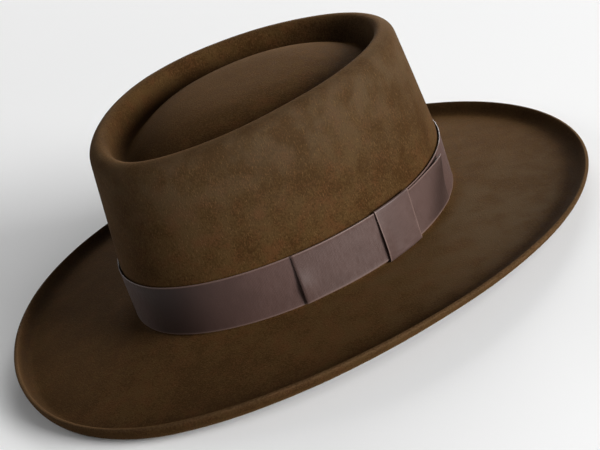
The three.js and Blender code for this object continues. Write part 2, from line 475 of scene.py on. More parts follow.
class Shader:
    """One material's nodes, wired by short calls."""

    def __init__(self, name: str) -> None:
        """Start a material on a plain principled surface.

        Args:
            name: The material's name.
        """
        self.material = bpy.data.materials.new(name)
        self.material.use_nodes = True
        self.tree = self.material.node_tree
        self.surface = self.tree.nodes["Principled BSDF"]

    def add(self, kind: str, **settings: object) -> bpy.types.Node:
        """Add a node.

        Args:
            kind: Blender's name for the node.
            settings: The node's own settings.

        Returns:
            The node.
        """
        node = self.tree.nodes.new(kind)
        for key, value in settings.items():
            setattr(node, key, value)
        return node

    def feed(self, socket: bpy.types.NodeSocket, value: object) -> None:
        """Link a socket to another, or set it to a number, vector or colour.

        Args:
            socket: The input to fill.
            value: An output socket, or a plain value.
        """
        if isinstance(value, bpy.types.NodeSocket):
            self.tree.links.new(value, socket)
        else:
            socket.default_value = value

    def set_surface(self, **values: float | Colour) -> None:
        """Set the surface's own sockets, named with underscores for spaces."""
        for key, value in values.items():
            wanted = (*value, 1.0) if isinstance(value, tuple) else value
            self.surface.inputs[key.replace("_", " ")].default_value = wanted

    def place(self) -> bpy.types.NodeSocket:
        """Return the place on the piece, in metres."""
        return self.add("ShaderNodeTexCoord").outputs["Object"]

    def noise(self, where: bpy.types.NodeSocket, size: float, detail: float = 2.0) -> bpy.types.NodeSocket:
        """Add a cloudy pattern.

        Args:
            where: Coordinates that it is laid over.
            size: Size of its patches, in the coordinates' unit.
            detail: How many finer layers it has.

        Returns:
            The pattern, about 0.5 on average.
        """
        node = self.add("ShaderNodeTexNoise")
        self.feed(node.inputs["Vector"], where)
        node.inputs["Scale"].default_value = 1 / size
        node.inputs["Detail"].default_value = detail
        return node.outputs["Fac"]

    def calc(self, operation: str, *values: object) -> bpy.types.NodeSocket:
        """Add a calculation.

        Args:
            operation: Blender's name for it.
            values: Numbers or sockets that it takes.

        Returns:
            The result.
        """
        node = self.add("ShaderNodeMath", operation=operation)
        for socket, value in zip(node.inputs, values):
            self.feed(socket, value)
        return node.outputs[0]

    def weigh(self, *patterns: tuple[bpy.types.NodeSocket, float]) -> bpy.types.NodeSocket:
        """Return the sum of patterns, each given with its weight."""
        total: object = 0.0
        for pattern, weight in patterns:
            total = self.calc("MULTIPLY_ADD", pattern, weight, total)
        return total

    def mark(self, name: str) -> bpy.types.NodeSocket:
        """Return one of the piece's own marks, from 0 to 1, which hold wear and painted light and shade."""
        return self.add("ShaderNodeAttribute", attribute_name=name).outputs["Fac"]

    def stretch(
        self, where: bpy.types.NodeSocket, scale: Colour, turn: Colour = (0.0, 0.0, 0.0),
    ) -> bpy.types.NodeSocket:
        """Turn and stretch coordinates.

        Args:
            where: The coordinates.
            scale: How much they are stretched along each axis.
            turn: How they are turned, in radians round each axis.

        Returns:
            The new coordinates.
        """
        node = self.add("ShaderNodeMapping")
        for name, value in (("Vector", where), ("Rotation", turn), ("Scale", scale)):
            self.feed(node.inputs[name], value)
        return node.outputs[0]

    def span(
        self, value: object, low: float, high: float, to_low: float = 0.0, to_high: float = 1.0,
    ) -> bpy.types.NodeSocket:
        """Stretch one span of numbers to another, with soft ends.

        Args:
            value: The number to stretch.
            low: Start of its span.
            high: End of its span.
            to_low: What the start becomes.
            to_high: What the end becomes.

        Returns:
            The stretched number.
        """
        node = self.add("ShaderNodeMapRange", interpolation_type="SMOOTHSTEP")
        for socket, item in zip(node.inputs, (value, low, high, to_low, to_high)):
            self.feed(socket, item)
        return node.outputs["Result"]

    def blend(self, share: object, first: object, second: object) -> bpy.types.NodeSocket:
        """Mix two colours.

        Args:
            share: How much of the second one shows.
            first: Colour or socket.
            second: Colour or socket.

        Returns:
            The mixed colour.
        """
        node = self.add("ShaderNodeMix", data_type="RGBA")
        self.feed(node.inputs[0], share)
        for socket, item in ((node.inputs[6], first), (node.inputs[7], second)):
            self.feed(socket, (*item, 1.0) if isinstance(item, tuple) else item)
        return node.outputs[2]

    def bump(self, height: bpy.types.NodeSocket, depth: float, strength: float) -> None:
        """Raise the surface by a pattern.

        Args:
            height: The pattern.
            depth: How high its full rise is, in metres.
            strength: How strongly it shows.
        """
        node = self.add("ShaderNodeBump")
        node.inputs["Strength"].default_value = strength
        node.inputs["Distance"].default_value = depth
        self.feed(node.inputs["Height"], height)
        self.feed(self.surface.inputs["Normal"], node.outputs["Normal"])


@dataclass(frozen=True)
class FeltFinish:
    """Matte fur felt with a short brushed nap."""

    shade: Colour = (0.0210, 0.0095, 0.0030)
    body: Colour = (0.0375, 0.0200, 0.0068)
    warm: Colour = (0.0480, 0.0168, 0.0064)
    # painted light: a lighter, greyer colour up the crown's wall and in a patch on the brim
    painted_light_colour: Colour = (0.0430, 0.0295, 0.0168)
    # painted shade: near-black colour laid in the valley round the dome and in the groove inside the curl
    pressed: Colour = (0.0060, 0.0025, 0.0007)
    tip: Colour = (0.0790, 0.0428, 0.0166)
    # lighter colour for wear on the rim's crest and raw edge, with a painted highlight there, and for painted
    # light inside the rim at the back
    worn_and_lit: Colour = (0.0720, 0.0435, 0.0225)
    roughness: float = 0.92
    sheen: float = 0.10
    sheen_roughness: float = 0.5
    sheen_tint: Colour = (0.62, 0.33, 0.12)
    gloss: float = 0.02
    nap: float = 0.9
    tuft: float = 3.0
    patch: float = 8.0
    cloud: float = 14.0
    sweep: float = 75.0
    hair: float = 0.7
    hair_share: float = 0.45
    hair_stretch: Colour = (1.0, 1.0, 0.3)
    hair_turns: tuple[Colour, ...] = ((0.3, 0.5, 0.2), (1.2, -0.4, 0.9), (-0.7, 1.1, 1.6))
    relief: float = 0.4

    def make(self) -> bpy.types.Material:
        """Return the felt's material."""
        shader = Shader("brushed_felt")
        where = shader.place()
        nap, tuft, patch, cloud, sweep = (
            shader.noise(where, size * MM, detail)
            for size, detail in zip(
                (self.nap, self.tuft, self.patch, self.cloud, self.sweep), (1.0, 2.0, 3.0, 3.0, 1.0))
        )
        fuzz: object = 0.0
        for turn in self.hair_turns:
            lay = shader.stretch(where, self.hair_stretch, turn)
            fibres = shader.span(shader.noise(lay, self.hair * MM, 1.0), 0.64, 0.78)
            fuzz = shader.calc("MAXIMUM", fuzz, fibres)
        tone = shader.span(shader.weigh((nap, 0.8), (tuft, 0.3), (cloud, 0.6), (sweep, 0.5)), 0.91, 1.29)
        dyed = shader.blend(shader.span(patch, 0.4, 0.7, 0.0, 0.55), self.body, self.warm)
        colour = shader.blend(tone, self.shade, dyed)
        # painted light up the crown's wall and on the brim at the wearer's left, broken up by the cloudy
        # pattern
        painted_light = shader.calc("MULTIPLY", shader.mark("painted_light"), shader.span(cloud, 0.35, 0.65, 0.25, 0.60))
        # wear with a painted highlight on the crest and the raw edge, and painted light inside the rim at the
        # back
        worn_and_lit_share = shader.calc("MULTIPLY", shader.mark("wear_and_painted_light"), shader.span(nap, 0.3, 0.7, 0.35, 1.0))
        tipped = shader.calc("MULTIPLY", fuzz, self.hair_share)
        for share, over in (
            (painted_light, self.painted_light_colour), (tipped, self.tip), (worn_and_lit_share, self.worn_and_lit),
            # painted shade in the valley round the dome and in the groove inside the curl
            (shader.mark("painted_crease_shade"), self.pressed),
        ):
            colour = shader.blend(share, colour, over)
        shader.feed(shader.surface.inputs["Base Color"], colour)
        rough = shader.span(tuft, 0.3, 0.7, self.roughness - 0.06, self.roughness + 0.06)
        shader.feed(shader.surface.inputs["Roughness"], rough)
        shader.bump(shader.weigh((nap, 1.0), (fuzz, 0.6)), self.relief * MM, 0.4)
        shader.set_surface(
            Specular_IOR_Level=self.gloss, Sheen_Weight=self.sheen,
            Sheen_Roughness=self.sheen_roughness, Sheen_Tint=self.sheen_tint)
        return shader.material


@dataclass(frozen=True)
class RibbonFinish:
    """Satin-faced grosgrain: fine ribs across the ribbon between two woven selvedges."""

    name: str = "grosgrain"
    base: Colour = (0.0550, 0.0310, 0.0262)
    dark: Colour = (0.0385, 0.0214, 0.0178)
    # painted shade: dark colour for a shaded patch on the band and on the back wing
    painted_shade_colour: Colour = (0.0140, 0.0072, 0.0058)
    selvedge: Colour = (0.0950, 0.0600, 0.0500)
    selvedge_share: float = 0.024
    ribs_a_width: float = 38
    roughness: float = 0.43
    gloss: float = 0.26
    sheen: float = 0.05
    sheen_roughness: float = 0.35
    sheen_tint: Colour = (0.85, 0.70, 0.66)
    thread: float = 0.12
    slub: float = 0.026
    weave: float = 0.018
    wash: float = 0.9
    rib_share: float = 0.16
    relief: float = 0.12

    def make(self) -> bpy.types.Material:
        """Return the ribbon's material, laid over its own flat map of ribbon widths."""
        shader = Shader(self.name)
        flat = shader.add("ShaderNodeUVMap", uv_map="ribbon").outputs["UV"]
        split = shader.add("ShaderNodeSeparateXYZ")
        shader.feed(split.inputs[0], flat)
        along, across = split.outputs[0], split.outputs[1]
        turns = shader.calc("MULTIPLY", along, self.ribs_a_width * 2 * math.pi)
        rib = shader.calc("MULTIPLY_ADD", shader.calc("SINE", turns), 0.5, 0.5)
        slub = shader.noise(shader.stretch(flat, (1.0, self.thread, 1.0)), self.slub, 1.0)
        weave = shader.noise(flat, self.weave, 2.0)
        wash = shader.noise(flat, self.wash, 2.0)
        tone = shader.span(shader.weigh((weave, 0.6), (slub, 0.35), (wash, 0.5)), 0.54, 0.90)
        colour = shader.blend(tone, self.dark, self.base)
        middle = shader.calc("ABSOLUTE", shader.calc("SUBTRACT", across, 0.5))
        edge = shader.span(
            middle, 0.5 - 1.6 * self.selvedge_share, 0.5 - 0.5 * self.selvedge_share, 0.0, 0.75)
        for share, over in (
            (shader.calc("MULTIPLY", rib, self.rib_share), self.dark),
            # painted shade from the piece's own mark
            (shader.mark("painted_shade"), self.painted_shade_colour), (edge, self.selvedge),
        ):
            colour = shader.blend(share, colour, over)
        shader.feed(shader.surface.inputs["Base Color"], colour)
        rough = shader.span(slub, 0.3, 0.7, self.roughness - 0.05, self.roughness + 0.07)
        shader.feed(shader.surface.inputs["Roughness"], rough)
        shader.bump(shader.weigh((weave, 0.2), (rib, 0.55)), self.relief * MM, 0.3)
        shader.set_surface(
            Specular_IOR_Level=self.gloss, Sheen_Weight=self.sheen,
            Sheen_Roughness=self.sheen_roughness, Sheen_Tint=self.sheen_tint)
        return shader.material


@dataclass(frozen=True)
class FloorFinish:
    """Matte pale studio paper."""

    pale: Colour = (0.90, 0.90, 0.90)
    paler: Colour = (0.93, 0.93, 0.93)

    def make(self) -> bpy.types.Material:
        """Return the floor's material."""
        shader = Shader("studio_paper")
        cloud = shader.noise(shader.place(), 0.4, 2.0)
        shader.feed(shader.surface.inputs["Base Color"], shader.blend(cloud, self.pale, self.paler))
        shader.set_surface(Roughness=0.9, Specular_IOR_Level=0.1)
        return shader.material


# ---- Felt body ----


@dataclass
class FeltBody:
    """Crown and brim, one sheet of felt pressed over the block."""

    block: HatBlock
    finish: FeltFinish
    columns: int = 150
    cap_rings: int = 6
    valley_steps: int = 24
    # Painted shade in the valley round the dome, strongest at the sides, and in the groove inside the curl
    crease_ring: int = 6
    crease_reach: float = 3.2
    crease_shade_share: float = 0.9
    groove_ring: int = 4
    groove_reach: float = 3.0
    groove_shade_share: float = 0.55
    # Painted light: a lit patch on the brim at the wearer's left
    painted_brim_light_turn: float = 112.0
    painted_brim_light_reach: float = 38.0
    painted_brim_light_share: float = 1.5
    # Painted light on the inside of the rim at the back
    painted_inner_light_turn: float = 157.0
    painted_inner_light_reach: float = 30.0
    painted_inner_light_share: float = 0.75
    painted_inner_light_rings: float = 4.0
    # Wear on the rim's crest and the raw edge, with a painted highlight over it
    crest_ring: int = 3
    crest_wear_and_highlight: float = 0.35
    crest_reach: float = 1.6
    edge_wear_and_highlight: float = 0.55
    edge_reach: float = 0.9
    # How the painted light grows up the crown's wall towards the rim
    painted_light_power: float = 1.5
    edge_rounding: float = 0.6
    hand: float = 0.45
    hand_broad: float = 9.0
    hand_close: float = 28.0
    hand_close_share: float = 0.4

    def build(self) -> bpy.types.Object:
        """Draw the felt ring by ring, press it over the block and give it its thickness.

        Returns:
            The finished piece.
        """
        block = self.block
        stands = [block.stand(2 * math.pi * step / self.columns) for step in range(self.columns)]
        floors = [block.valley_floor(stand) for stand in stands]
        middle = sum(floors, Vector()) / self.columns
        sections = [
            block.valley_section(stand, middle, self.valley_steps)
            + block.crown_section(stand) + block.brim_section(stand)
            for stand in stands
        ]
        shares = [block.dome_shares[0] * (ring + 1) / (self.cap_rings + 1) for ring in range(self.cap_rings)]
        cap = [
            [block.dome_point(middle, floor, stand.turn, share) for stand, floor in zip(stands, floors)]
            for share in shares
        ]
        rings = cap + [[section[row][1] for section in sections] for row in range(len(sections[0]))]
        self.parts = [FeltPart.DOME] * len(cap) + [part for part, _ in sections[0]]
        piece = self._draw(rings)
        self._press(piece, rings)
        self._thicken(piece)
        Bench.smooth(piece)
        piece.data.materials.append(self.finish.make())
        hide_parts("felt_body")
        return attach(piece, "root")

    def _draw(self, rings: Sequence[Sequence[Vector]]) -> bpy.types.Object:
        """Extrude a ring of edges outwards step by step, and close the middle of the dome.

        Args:
            rings: Where the rings will lie, from the middle of the dome to the edge of the brim.

        Returns:
            The drawn sheet, with each point marked with its ring and column.
        """
        radii = [sum(point.xy.length for point in ring) / len(ring) for ring in rings]
        heights = [sum(point.z for point in ring) / len(ring) for ring in rings]
        Bench.clear()
        bpy.ops.mesh.primitive_circle_add(
            vertices=self.columns, radius=radii[0], fill_type="NOTHING", location=(0, 0, heights[0]))
        piece = Bench.name("felt_hat")
        bpy.ops.object.transform_apply(location=True, rotation=True, scale=True)
        with Bench.editing(piece) as mesh:
            bpy.ops.mesh.select_all(action="SELECT")
            ring_mark = mesh.verts.layers.int.new("ring")
            column_mark = mesh.verts.layers.int.new("column")
            for vert in mesh.verts:
                turn = math.atan2(vert.co.x, -vert.co.y) % (2 * math.pi)
                vert[column_mark] = round(turn / (2 * math.pi) * self.columns) % self.columns
            for ring in range(1, len(rings)):
                rise = heights[ring] - heights[ring - 1]
                grow = radii[ring] / radii[ring - 1]
                bpy.ops.mesh.extrude_region_move(TRANSFORM_OT_translate={"value": (0, 0, rise)})
                bpy.ops.transform.resize(value=(grow, grow, 1))
                mesh = bmesh.from_edit_mesh(piece.data)
                ring_mark = mesh.verts.layers.int["ring"]
                for vert in mesh.verts:
                    if vert.select:
                        vert[ring_mark] = ring
            self._close_dome(mesh, ring_mark)
        return piece

    def _close_dome(self, mesh: bmesh.types.BMesh, ring_mark: object) -> None:
        """Draw the innermost ring together to the dome's middle.

        Args:
            mesh: The edit mesh.
            ring_mark: The layer that marks each point's ring.
        """
        bpy.ops.mesh.select_all(action="DESELECT")
        bpy.ops.mesh.select_mode(type="VERT")
        for vert in mesh.verts:
            vert.select = vert[ring_mark] == 0
        mesh.select_flush_mode()
        bpy.ops.mesh.extrude_region_move(TRANSFORM_OT_translate={"value": (0, 0, 0)})
        bpy.ops.mesh.merge(type="CENTER")

    def _press(self, piece: bpy.types.Object, rings: Sequence[Sequence[Vector]]) -> None:
        """Press the sheet over the block, and mark its wear and its painted light and shade.

        Args:
            piece: The drawn sheet.
            rings: Where the rings lie on the block.
        """
        mesh = bmesh.new()
        mesh.from_mesh(piece.data)
        ring_mark, column_mark = (mesh.verts.layers.int[name] for name in ("ring", "column"))
        # marks of wear, and of painted light and shade
        wear = {mesh.verts.layers.float.new(name): values for name, values in self._wear_and_painted_light().items()}
        pole = min(mesh.verts, key=lambda vert: vert.co.xy.length)
        for vert in mesh.verts:
            ring, column = vert[ring_mark], vert[column_mark]
            vert.co = rings[ring][column]
            for mark, values in wear.items():
                vert[mark] = values[ring][column]
        pole.co = sum(rings[0], Vector()) / self.columns
        bmesh.ops.recalc_face_normals(mesh, faces=mesh.faces)
        if sum(face.normal.z * face.calc_area() for face in mesh.faces) < 0:
            bmesh.ops.reverse_faces(mesh, faces=mesh.faces)
        mesh.normal_update()
        moved = [(vert, self._hand_shaping(vert, self.parts[vert[ring_mark]])) for vert in mesh.verts]
        for vert, shift in moved:
            vert.co += shift
        mesh.to_mesh(piece.data)
        mesh.free()

    def _wear_and_painted_light(self) -> dict[str, list[list[float]]]:
        """Work out the marks of wear and of painted light and shade, from 0 to 1.

        Returns:
            Three marks for each ring and column. The first is wear on the rim's crest and raw edge, with a
            painted highlight over it, and painted light inside the rim at the back. The second is painted
            light up the crown's wall and on the brim at the wearer's left. The third is painted shade in the
            valley round the dome and in the groove inside the curl.
        """
        rows = {part: [row for row, other in enumerate(self.parts) if other is part] for part in FeltPart}
        crest = rows[FeltPart.RIM][0] + self.crest_ring
        edge = rows[FeltPart.CURL][-1]
        painted_crease_shade = rows[FeltPart.DOME][-1] - self.crease_ring
        wall = rows[FeltPart.WALL]
        painted_inner_light_row = rows[FeltPart.DOME][-1] - 1
        turns = [360 * column / self.columns for column in range(self.columns)]
        # painted light on the brim at the wearer's left
        painted_brim_light = [self.painted_brim_light_share * bell(turn - self.painted_brim_light_turn, self.painted_brim_light_reach) for turn in turns]
        # painted light on the inside of the rim at the back
        painted_inner_light = [self.painted_inner_light_share * bell(turn - self.painted_inner_light_turn, self.painted_inner_light_reach) for turn in turns]
        # strength of the painted shade in the valley, strongest at the sides
        tight = [self.crease_shade_share * (0.25 + 0.75 * math.sin(math.radians(turn)) ** 2) for turn in turns]
        marks: dict[str, list[list[float]]] = {"wear_and_painted_light": [], "painted_light": [], "painted_crease_shade": []}
        for row, part in enumerate(self.parts):
            # wear with a painted highlight on the crest and the raw edge
            worn_and_lit = max(
                self.crest_wear_and_highlight * bell(row - crest, self.crest_reach),
                self.edge_wear_and_highlight * bell(row - edge, self.edge_reach))
            # painted light, stronger up the crown's wall
            climb = 0.0
            if row > crest:
                climb = min(max((wall[-1] + 1 - row) / len(wall), 0.0), 1.0) ** self.painted_light_power
            # painted shade in the valley round the dome, and in the groove just inside the curl
            near = bell(row - painted_crease_shade, self.crease_reach)
            groove = self.groove_shade_share * bell(row - edge + self.groove_ring, self.groove_reach)
            marks["wear_and_painted_light"].append([max(worn_and_lit, bell(row - painted_inner_light_row, self.painted_inner_light_rings) * share) for share in painted_inner_light])
            marks["painted_light"].append(painted_brim_light if part is FeltPart.BRIM else [climb] * self.columns)
            marks["painted_crease_shade"].append([near * depth + groove for depth in tight])
        return marks

    def _hand_shaping(self, vert: bmesh.types.BMVert, part: FeltPart) -> Vector:
        """Work out how unevenly the felt was shaped by hand at a point.

        Args:
            vert: The point, with its normal.
            part: The part of the felt that it is on.

        Returns:
            How far the point moves, in metres.
        """
        if part is FeltPart.UNDER_RIBBON:
            return Vector()
        broad = noise.noise(vert.co * self.hand_broad)
        close = noise.noise(vert.co * self.hand_close + Vector((3.1, 7.7, 1.9)))
        return vert.normal * (broad + self.hand_close_share * close) * self.hand * MM

    def _thicken(self, piece: bpy.types.Object) -> None:
        """Give the sheet its thickness, round its raw edge, smooth it and flatten it where it rests.

        Args:
            piece: The pressed sheet.
        """
        Bench.finish_with(
            piece, "SOLIDIFY", thickness=self.block.thickness * MM, offset=-1, use_even_offset=True)
        Bench.round_edges(piece, self.edge_rounding)
        Bench.finish_with(piece, "SUBSURF", levels=1, render_levels=1)
        for vert in piece.data.vertices:
            vert.co.z = max(vert.co.z, 0.0)


# ---- Ribbon band and bow ----


@dataclass(frozen=True)
class Girth:
    """The line round the foot of the crown that the ribbon follows."""

    block: HatBlock
    out: float = 1.0
    steps: int = 720

    def table(self) -> tuple[np.ndarray, np.ndarray]:
        """Return turns, in radians, and the distance round the crown to each, in millimetres."""
        turns = np.linspace(-math.pi, 3 * math.pi, 2 * self.steps + 1)
        points = [self.block.place(self.block.stand(turn), self.out, 0.0) / MM for turn in turns]
        runs = [0.0] + [(there - here).length for here, there in zip(points, points[1:])]
        distance = np.cumsum(runs)
        return turns, distance - np.interp(0.0, turns, distance)


@dataclass
class RibbonPiece:
    """A length of ribbon that is cut flat, folded along a path and laid on the crown."""

    block: HatBlock
    girth: tuple[np.ndarray, np.ndarray]
    finish: bpy.types.Material
    name: str
    node: str
    slot: Slot
    length: float
    width: float
    steps: int
    rows: int = 14
    thickness: float = 0.42
    selvedge: float = 0.7
    bead: float = 0.06
    edge_rounding: float = 0.11
    # A patch of painted shade: its middle turn, its slant across the ribbon, its reach and its strength
    painted_shade_turn: float = 0.0
    painted_shade_slant: float = 0.0
    painted_shade_reach: float = 1.0
    painted_shade_share: float = 0.0
    loose: float = 0.55
    loose_turn: float = 112.0
    loose_reach: float = 26.0

    def place_of(self, along: float) -> float:
        """Return the distance round the crown to a flat point of the ribbon, in millimetres."""
        return along

    def slack(self, run: float, height: float) -> float:
        """Return how far the band's loose top edge, and all that lies over it, stands off the felt."""
        turn = math.degrees(self.turn_at(run)) % 360
        share = min(max(height / self.block.ribbon_height, 0.0), 1.0)
        return self.loose * bell(turn - self.loose_turn, self.loose_reach) * share**3

    def painted_shade_at(self, along: float, across: float) -> float:
        """Return how strongly painted shade darkens a flat point, from 0 to 1."""
        turn = (math.degrees(self.turn_at(self.place_of(along))) + 180) % 360 - 180
        middle = self.painted_shade_turn + self.painted_shade_slant * (across / self.width - 0.5)
        return self.painted_shade_share * bell(turn - middle, self.painted_shade_reach)

    def run_at(self, turn: float) -> float:
        """Return the distance round the crown to a turn, in degrees."""
        return float(np.interp(math.radians(turn), *self.girth))

    def turn_at(self, run: float) -> float:
        """Return the turn, in radians, at a distance round the crown."""
        return float(np.interp(run, self.girth[1], self.girth[0]))

    def lay(self, along: float, across: float, off: float) -> Vector:
        """Find where a flat point of the ribbon lies on the hat.

        Args:
            along: Distance along the ribbon, in millimetres.
            across: Distance across it.
            off: Distance off its middle, towards its face.

        Returns:
            The place, in metres.
        """
        raise NotImplementedError

    def build(self) -> bpy.types.Object:
        """Cut the ribbon, weave its selvedges, and lay it on the crown.

        Returns:
            The finished piece.
        """
        piece = self._cut()
        self._map(piece)
        Bench.finish_with(piece, "SOLIDIFY", thickness=self.thickness * MM, offset=0)
        self._swell_selvedges(piece)
        Bench.round_edges(piece, self.edge_rounding)
        # painted shade, kept on each point
        painted_shade = piece.data.attributes.new("painted_shade", "FLOAT", "POINT")
        for vert in piece.data.vertices:
            along, across = vert.co.x / MM, vert.co.z / MM
            painted_shade.data[vert.index].value = self.painted_shade_at(along, across)
            vert.co = self.lay(along, across, -vert.co.y / MM)
        with Bench.editing(piece):
            bpy.ops.mesh.select_all(action="SELECT")
            bpy.ops.mesh.normals_make_consistent(inside=False)
        Bench.smooth(piece)
        piece.data.materials.append(self.finish)
        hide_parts(self.node)
        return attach(piece, "root")

    def _cut(self) -> bpy.types.Object:
        """Cut the ribbon flat, with its selvedges drawn out of its long edges.

        Returns:
            The flat ribbon: X along it, Z across it, its face towards -Y.
        """
        Bench.clear()
        inner = self.width - 2 * self.selvedge
        bpy.ops.mesh.primitive_grid_add(
            x_subdivisions=self.steps, y_subdivisions=self.rows, size=1,
            location=(self.length / 2 * MM, 0, self.width / 2 * MM), rotation=(math.pi / 2, 0, 0))
        piece = Bench.name(self.name)
        bpy.ops.object.transform_apply(location=True, rotation=True, scale=True)
        with Bench.editing(piece) as mesh:
            bpy.ops.mesh.select_all(action="SELECT")
            bpy.ops.transform.resize(value=(self.length * MM, 1, inner * MM))
            for side, height in ((1, self.width - self.selvedge), (-1, self.selvedge)):
                bpy.ops.mesh.select_mode(type="EDGE")
                bpy.ops.mesh.select_all(action="DESELECT")
                mesh = bmesh.from_edit_mesh(piece.data)
                for edge in mesh.edges:
                    edge.select = all(abs(vert.co.z - height * MM) < 0.01 * MM for vert in edge.verts)
                mesh.select_flush_mode()
                for _ in range(2):
                    drawn = side * self.selvedge / 2 * MM
                    bpy.ops.mesh.extrude_region_move(TRANSFORM_OT_translate={"value": (0, 0, drawn)})
        return piece

    def _map(self, piece: bpy.types.Object) -> None:
        """Map the flat ribbon in ribbon widths, along and across.

        Args:
            piece: The flat ribbon.
        """
        layer = piece.data.uv_layers.new(name="ribbon")
        for loop in piece.data.loops:
            place = piece.data.vertices[loop.vertex_index].co
            layer.data[loop.index].uv = (place.x / MM / self.width, place.z / MM / self.width)

    def _swell_selvedges(self, piece: bpy.types.Object) -> None:
        """Raise a bead along each selvedge.

        Args:
            piece: The ribbon with its thickness.
        """
        half = self.selvedge / 2
        for vert in piece.data.vertices:
            inset = min(vert.co.z / MM, self.width - vert.co.z / MM)
            if abs(inset - half) < half / 2:
                vert.co.y += math.copysign(self.bead * MM, vert.co.y)

    def on_crown(self, run: float, height: float, out: float) -> Vector:
        """Find a place on the crown.

        Args:
            run: Distance round the crown from the front, in millimetres.
            height: Height above the foot, in millimetres.
            out: Distance out from the wall where the ribbon is tight, in millimetres.

        Returns:
            The place, in metres.
        """
        stand = self.block.stand(self.turn_at(run))
        return self.block.place(stand, out + self.slack(run, height), stand.foot_height + height)


@dataclass
class RibbonBand(RibbonPiece):
    """The ribbon round the foot of the crown; its ends meet under the knot."""

    start: float = 88.0
    out: float = 0.62

    def place_of(self, along: float) -> float:
        """Return the distance round the crown to a flat point, in millimetres."""
        return self.run_at(self.start) + along

    def lay(self, along: float, across: float, off: float) -> Vector:
        """Lay a flat point on the crown."""
        return self.on_crown(self.place_of(along), across, self.out + off)


@dataclass
class BowWing(RibbonPiece):
    """A loop of ribbon pressed flat over the band, its fold at the free end."""

    fold_turn: float = 52.5
    knot_turn: float = 86.6
    bottom: float = 0.8
    inner: float = 1.22
    outer: float = 1.95
    lift: float = 1.6
    lift_share: float = 0.3
    lift_spread: float = 0.30
    lift_reach: float = 7.0
    slip: float = 0.5
    dent: float = 0.0
    give: float = 0.2

    @property
    def radius(self) -> float:
        """Radius of the fold, in millimetres."""
        return (self.outer - self.inner) / 2

    @property
    def layer(self) -> float:
        """Length of one layer of the loop, from the knot to the fold, in millimetres."""
        return abs(self.run_at(self.knot_turn) - self.run_at(self.fold_turn)) - self.radius

    def whole_length(self) -> float:
        """Return the loop's length laid flat, in millimetres."""
        return 2 * self.layer + math.pi * self.radius

    def place_of(self, along: float) -> float:
        """Return the distance round the crown to a flat point, in millimetres."""
        fold = self.run_at(self.fold_turn)
        way = 1 if self.knot_turn > self.fold_turn else -1
        return fold + way * (self.radius + abs(along - self.layer))

    def lay(self, along: float, across: float, off: float) -> Vector:
        """Fold a flat point round the loop and lay it on the crown.

        A dent never presses the under layer into the band, nor the upper layer into the under one.
        """
        fold, knot = self.run_at(self.fold_turn), self.run_at(self.knot_turn)
        way = 1 if knot > fold else -1
        radius, layer = self.radius, self.layer
        centre = fold + way * radius
        bend = math.pi * radius
        if along < layer:
            run, out = knot - way * along, self.inner - off
        elif along < layer + bend:
            turn = (along - layer) / radius
            reach = radius + off
            run = centre - way * reach * math.sin(turn)
            out = self.inner + radius - reach * math.cos(turn)
        else:
            run, out = centre + way * (along - layer - bend), self.outer + off
        share = across / self.width
        rise = bell(share - self.lift_share, self.lift_spread)
        stand_off = self.lift * rise * bell(abs(run - fold), self.lift_reach)
        upper = min(max((along - layer) / bend, 0.0), 1.0)
        # the dent follows the patch of painted shade
        stand_off = max(stand_off - self.dent * self.painted_shade_at(along, across), -self.give * upper)
        sunk = self.slip * (1 - upper)
        return self.on_crown(run, self.bottom + across - sunk, out + stand_off)


@dataclass
class BowKnot(RibbonPiece):
    """The strip across the middle of the bow, tucked in below the band and turned over above it."""

    middle_turn: float = 88.0
    low: float = -0.36
    high: float = 29.6
    tuck: float = 0.3
    turn_over: float = 0.3
    face: float = 2.78
    corner: float = 0.9
    top_corner: float = 0.5
    lift: float = 1.3
    lift_reach: float = 4.5

    def path(self, along: float) -> tuple[float, float, float]:
        """Follow the strip from its tuck below the band, over the front, to its turned-over top.

        Args:
            along: Distance along the strip, in millimetres.

        Returns:
            Height above the foot, distance out, and the way the strip's face points, in
            radians, where 0 is outwards and a quarter turn is up.
        """
        height, out, facing = self.low, self.tuck, -math.pi / 2
        for length, radius in self.stretches():
            step = min(along, length)
            along -= step
            if radius:
                end = facing + step / radius
                height += radius * (math.sin(end) - math.sin(facing))
                out += radius * (math.cos(end) - math.cos(facing))
                facing = end
            else:
                height += step * math.cos(facing)
                out -= step * math.sin(facing)
        return height, out, facing

    def stretches(self) -> tuple[tuple[float, float], ...]:
        """Return each stretch of the path as its length and radius, which is 0 where it is straight."""
        quarter = math.pi / 2
        return (
            (self.face - self.corner - self.tuck, 0.0),
            (self.corner * quarter, self.corner),
            (self.high - self.low - self.corner - self.top_corner, 0.0),
            (self.top_corner * quarter, self.top_corner),
            (self.turn_over, 0.0),
        )

    def whole_length(self) -> float:
        """Return the strip's length along its path, in millimetres."""
        return sum(length for length, _ in self.stretches())

    def lay(self, along: float, across: float, off: float) -> Vector:
        """Lay a flat point over the bow; the front edge stands off more towards the brim."""
        height, out, facing = self.path(along)
        run = self.run_at(self.middle_turn) - self.width / 2 + across
        share = (height - self.low) / (self.high - self.low)
        rise = math.sin(math.pi * min(max(share, 0.0), 1.0) ** 0.55)
        stand_off = self.lift * rise * bell(across, self.lift_reach)
        return self.on_crown(
            run, height + off * math.sin(facing), out + off * math.cos(facing) + stand_off)


